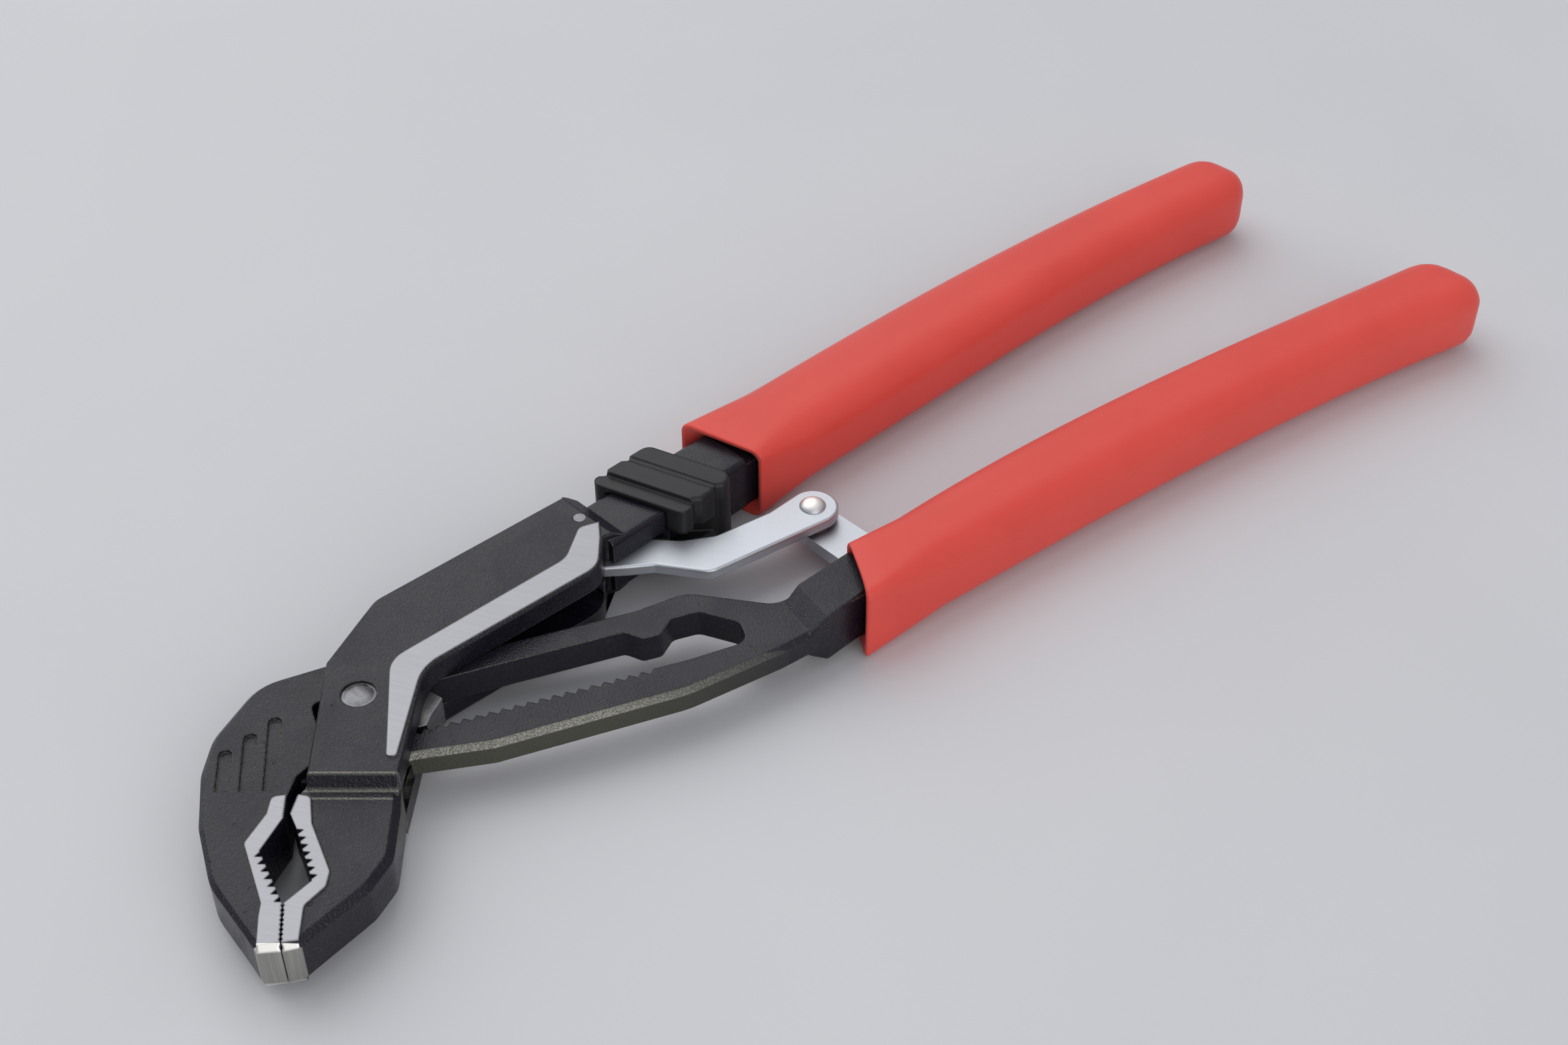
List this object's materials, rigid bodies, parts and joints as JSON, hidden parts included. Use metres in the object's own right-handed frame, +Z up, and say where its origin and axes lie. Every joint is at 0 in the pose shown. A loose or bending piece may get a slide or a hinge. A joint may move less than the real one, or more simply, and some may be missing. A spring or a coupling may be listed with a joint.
{
  "type": "tongue and groove pliers",
  "caption": "Self-adjusting slip-joint pliers with angled toothed jaws, slotted lever, push link, lock slider and red dipped grips.",
  "frame": {"origin": "on the axis of the pivot bolt, in the plane the pliers lie on (the flat head of the bolt)", "axes": "+X from the jaws towards the handle ends, +Z up from the plane the pliers lie on, +Y towards the lever with the slider"},
  "size_m": [0.2516, 0.0779, 0.0144],
  "materials": {
    "forged_steel": "black oxide on forged steel, satin, with ground bright lands",
    "bolt_steel": "dull grey",
    "zinc_plate": "satin zinc plate",
    "slider_plastic": "satin",
    "grip_vinyl": "soft satin"
  },
  "bodies": {
    "fixed_lever": {"upper_lever": "forged_steel", "pivot_bolt": "bolt_steel", "anchor_pin": "bolt_steel", "upper_grip": "grip_vinyl"},
    "slotted_lever": {"lower_lever": "forged_steel", "lower_grip": "grip_vinyl", "link_lug": "zinc_plate", "link_washer": "zinc_plate", "link_rivet": "zinc_plate", "lug_rivet_front": "bolt_steel", "lug_rivet_rear": "bolt_steel"},
    "push_link": {"push_link": "zinc_plate"},
    "pawl": {"pawl": "bolt_steel"},
    "lock_slider": {"lock_slider": "slider_plastic"}
  },
  "joints": [
    {"name": "link_swing", "type": "hinge", "parent": "fixed_lever", "child": "push_link", "pos_m": [0.0496, 0.0069, 0.0072], "axis": [0, 0, -1], "range_deg": [0, 50]},
    {"name": "handle_fold", "type": "hinge", "parent": "push_link", "child": "slotted_lever", "pos_m": [0.0832, -0.0135, 0.0072], "axis": [0, 0, -1], "range_deg": [-24.4, 0]},
    {"name": "pawl_turn", "type": "hinge", "parent": "fixed_lever", "child": "pawl", "pos_m": [0, 0, 0.0072], "axis": [0, 0, -1], "range_deg": [0, 25.8]},
    {"name": "lock_slide", "type": "slide", "parent": "fixed_lever", "child": "lock_slider", "axis": [1, 0, 0], "range_m": [0, 0.0055]}
  ],
  "couplings": [
    {"joint": "handle_fold", "follows": "link_swing", "ratio": -0.48644},
    {"joint": "pawl_turn", "follows": "link_swing", "ratio": 0.51356}
  ]
}
